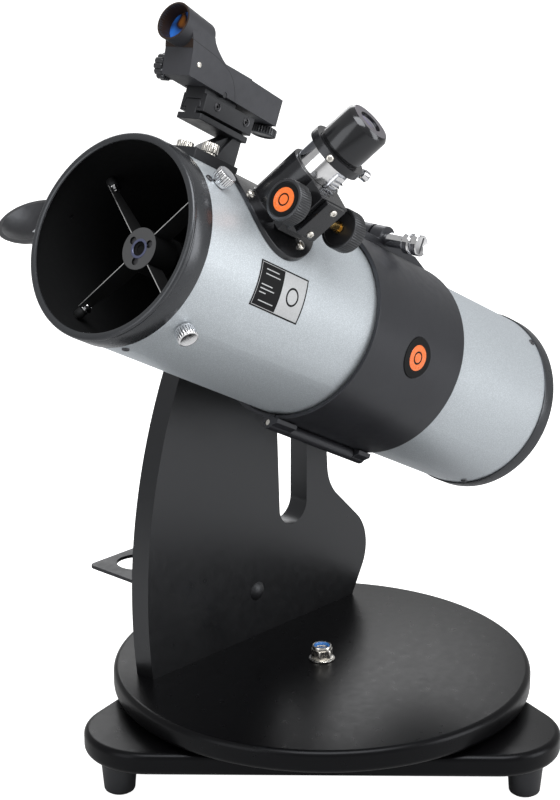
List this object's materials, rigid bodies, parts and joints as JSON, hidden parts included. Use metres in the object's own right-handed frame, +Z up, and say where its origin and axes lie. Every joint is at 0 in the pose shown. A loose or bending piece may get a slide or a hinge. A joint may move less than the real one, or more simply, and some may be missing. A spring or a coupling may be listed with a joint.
{
  "type": "dobsonian telescope",
  "caption": "Tabletop Newtonian telescope in a hinged clamp ring on a single side arm that turns on a round board, with focuser, red-dot finder and phone dock.",
  "frame": {"origin": "on the azimuth axis at the level of the feet's undersides", "axes": "+Z up, +Y towards the side arm, -X the way the front of the tube points"},
  "size_m": [0.4761, 0.3708, 0.6034],
  "materials": {
    "black_board": "fine-grained black melamine, satin",
    "arm_board": "charcoal fine-grained laminate, satin",
    "black_plastic": "moulded black plastic, fine texture",
    "ptfe": "waxy white low-friction plastic",
    "zinc_steel": "zinc-plated steel",
    "blue_nylon": "blue nylon",
    "ring_paint": "charcoal satin paint on steel",
    "felt": "thin grey felt",
    "badge_enamel": "orange enamel on a black disc",
    "chrome": "bright nickel and chrome plating",
    "silver_paint": "silver metallic paint with fine sparkle",
    "trim_paint": "satin charcoal paint",
    "spider_black": "matte black paint",
    "mirror_coating": "aluminised glass",
    "focuser_black": "satin black anodised metal",
    "brass_shaft": "turned brass and steel",
    "dark_steel": "blackened steel",
    "finder_glass": "orange coated sight lens"
  },
  "bodies": {
    "base": {"ground_board": "black_board", "feet": "black_plastic", "azimuth_pads": "ptfe", "pivot_bolt": "zinc_steel", "pivot_nut": "zinc_steel", "nut_insert": "blue_nylon"},
    "turntable": {"turntable_disc": "black_board", "pivot_bush": "ptfe", "side_arm": "arm_board", "arm_screws": "zinc_steel", "tray_bolt": "black_plastic", "tray_flange": "black_plastic", "accessory_tray": "black_plastic"},
    "altitude_ring": {"ring_inner_half": "ring_paint", "felt_inner": "felt", "altitude_boss": "black_plastic", "altitude_axle": "zinc_steel", "hinge_pin": "zinc_steel"},
    "tension_knob": {"altitude_knob": "black_plastic"},
    "outer_half": {"ring_outer_half": "ring_paint", "felt_outer": "felt", "badge": "badge_enamel", "clamp_sleeve": "chrome"},
    "clamp_screw": {"clamp_knob": "chrome"},
    "tube": {"optical_tube": "silver_paint", "front_ring": "trim_paint", "rear_ring": "trim_paint", "ring_screws": "dark_steel", "spider_vanes": "spider_black", "spider_hub": "spider_black", "secondary_holder": "black_plastic", "secondary_mirror": "mirror_coating", "collimation_screws": "zinc_steel", "vane_knobs": "chrome", "mirror_cell": "black_plastic", "primary_mirror": "mirror_coating", "mirror_clips": "black_plastic", "cell_knobs": "chrome", "focuser_base": "focuser_black", "focuser_screws": "chrome", "pinion_cover": "focuser_black", "finder_bracket": "black_plastic", "finder_nuts": "chrome", "finder_shoe": "black_plastic", "shoe_screws": "dark_steel", "dock_bracket": "black_plastic", "dock_shroud": "black_plastic", "dock_mirror": "mirror_coating"},
    "drawtube": {"drawtube": "chrome", "drawtube_rack": "chrome", "drawtube_collar": "focuser_black"},
    "pinion": {"pinion_shaft": "brass_shaft", "focus_knobs": "focuser_black"},
    "eyepiece": {"eyepiece": "focuser_black"},
    "eyepiece_lock": {"eyepiece_lock": "chrome"},
    "finder": {"finder_body": "black_plastic", "finder_lens": "finder_glass"},
    "windage": {"windage_knob": "black_plastic"},
    "elevation": {"elevation_knob": "black_plastic"},
    "phone_clamp": {"phone_clamp": "black_plastic"}
  },
  "joints": [
    {"name": "azimuth", "type": "hinge", "parent": "base", "child": "turntable", "pos_m": [0, 0, 0.07], "axis": [0, 0, 1], "continuous": true},
    {"name": "altitude", "type": "hinge", "parent": "turntable", "child": "altitude_ring", "pos_m": [0.005, 0.079, 0.336], "axis": [0, 1, 0], "range_deg": [-37, 62.7]},
    {"name": "altitude_knob_turn", "type": "hinge", "parent": "altitude_ring", "child": "tension_knob", "pos_m": [0.005, 0.097, 0.336], "axis": [0, 1, 0], "continuous": true},
    {"name": "ring_open", "type": "hinge", "parent": "altitude_ring", "child": "outer_half", "pos_m": [-0.03646, -0.02177, 0.26788], "axis": [0.8886, 0, -0.4587], "range_deg": [0, 75]},
    {"name": "clamp_knob_turn", "type": "hinge", "parent": "outer_half", "child": "clamp_screw", "pos_m": [0.04116, -0.05177, 0.40956], "axis": [0, -1, 0], "continuous": true},
    {"name": "tube_turn", "type": "hinge", "parent": "altitude_ring", "child": "tube", "pos_m": [0, -0.01177, 0.33853], "axis": [-0.8886, 0, 0.4587], "continuous": true},
    {"name": "focus", "type": "slide", "parent": "tube", "child": "drawtube", "axis": [0.3589, -0.6225, 0.6954], "range_m": [-0.016, 0.02]},
    {"name": "focus_knob_turn", "type": "hinge", "parent": "tube", "child": "pinion", "pos_m": [-0.11561, -0.0921, 0.46448], "axis": [-0.8886, 0, 0.4587], "range_deg": [-211, 169]},
    {"name": "eyepiece_pull", "type": "slide", "parent": "drawtube", "child": "eyepiece", "axis": [0.3589, -0.6225, 0.6954], "range_m": [0, 0.032]},
    {"name": "eyepiece_lock_turn", "type": "hinge", "parent": "drawtube", "child": "eyepiece_lock", "pos_m": [-0.07749, -0.10252, 0.48854], "axis": [0.6957, -0.3183, -0.644], "continuous": true},
    {"name": "finder_tilt", "type": "hinge", "parent": "tube", "child": "finder", "pos_m": [-0.12348, -0.00336, 0.53754], "axis": [0.032, -0.9976, 0.062], "range_deg": [-1.2, 1.2]},
    {"name": "windage_knob_turn", "type": "hinge", "parent": "finder", "child": "windage", "pos_m": [-0.14903, 0.01412, 0.55781], "axis": [-0.032, 0.9976, -0.062], "continuous": true},
    {"name": "elevation_knob_turn", "type": "hinge", "parent": "finder", "child": "elevation", "pos_m": [-0.0709, -0.00375, 0.50422], "axis": [0.4575, 0.0698, 0.8865], "range_deg": [-130, 130]},
    {"name": "phone_clamp_slide", "type": "slide", "parent": "tube", "child": "phone_clamp", "axis": [0.8886, 0, -0.4587], "range_m": [0, 0.03]}
  ],
  "couplings": [
    {"joint": "focus_knob_turn", "follows": "focus", "rad_per_m": -181.82},
    {"joint": "elevation_knob_turn", "follows": "finder_tilt", "ratio": 100}
  ]
}
